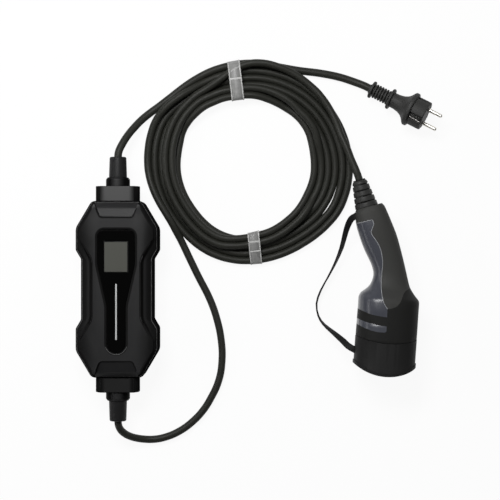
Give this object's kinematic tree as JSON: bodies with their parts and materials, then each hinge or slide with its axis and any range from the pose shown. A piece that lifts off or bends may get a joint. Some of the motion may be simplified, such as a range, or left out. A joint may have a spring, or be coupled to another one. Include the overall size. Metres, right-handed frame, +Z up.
{
  "type": "portable ev charger",
  "caption": "Portable electric vehicle charging set: control box with display, short supply cord with mains plug, coiled vehicle cord and pistol-grip connector with tethered dust cap.",
  "frame": {"origin": "middle of the control box's flat back, which lies on the floor", "axes": "+Y along the box towards the supply cord, +X towards the coil and connector, +Z up out of the display"},
  "size_m": [0.4497, 0.4811, 0.0701],
  "materials": {
    "case_black": "moulded, fine grain",
    "seal_rubber": "smooth",
    "window_gloss": "polished",
    "lcd_grey": "satin display glass",
    "light_pale": "diffusing",
    "board_green": "lacquered board",
    "relay_blue": "moulded",
    "module_black": "potted block",
    "terminal_green": "moulded",
    "screw_steel": "plated",
    "gland_black": "satin",
    "cord_black": "satin jacket",
    "band_clear": "translucent film",
    "plug_rubber": "moulded, matt",
    "contact_nickel": "nickel plate",
    "cover_dark": "soft touch, matt",
    "grip_slate": "fine grain",
    "head_black": "satin",
    "boot_rubber": "moulded, matt",
    "cap_rubber": "satin"
  },
  "bodies": {
    "charger": {"rear_shell": "case_black", "front_shell": "case_black", "housing_seal": "seal_rubber", "display_window": "window_gloss", "lcd_panel": "lcd_grey", "light_bar": "light_pale", "display_board": "board_green", "main_board": "board_green", "power_relays": "relay_blue", "supply_module": "module_black", "leak_sensor": "module_black", "terminal_blocks": "terminal_green", "housing_screws": "screw_steel", "upper_collar": "case_black", "lower_collar": "case_black", "upper_nut": "gland_black", "lower_nut": "gland_black", "upper_seal": "seal_rubber", "lower_seal": "seal_rubber", "upper_sleeve": "gland_black", "lower_sleeve": "gland_black", "supply_cord": "cord_black", "vehicle_lead": "cord_black", "cord_coil": "cord_black", "vehicle_exit": "cord_black", "coil_band_top": "band_clear", "coil_band_bottom": "band_clear", "plug_body": "plug_rubber", "plug_bridge": "plug_rubber", "plug_pins": "contact_nickel", "earth_clips": "contact_nickel", "handle_cover": "cover_dark", "grip_insert": "grip_slate", "head_shell": "head_black", "contact_carrier": "head_black", "power_contacts": "contact_nickel", "signal_contacts": "contact_nickel", "connector_boot": "boot_rubber", "handle_screws": "screw_steel", "cap_strap": "cap_rubber"},
    "cap": {"dust_cap": "cap_rubber"}
  },
  "joints": [
    {"name": "cap_pull", "type": "slide", "parent": "charger", "child": "cap", "axis": [-0.0732, -0.9973, 0], "range_m": [0, 0.05], "deforming": ["cap_strap"]}
  ]
}
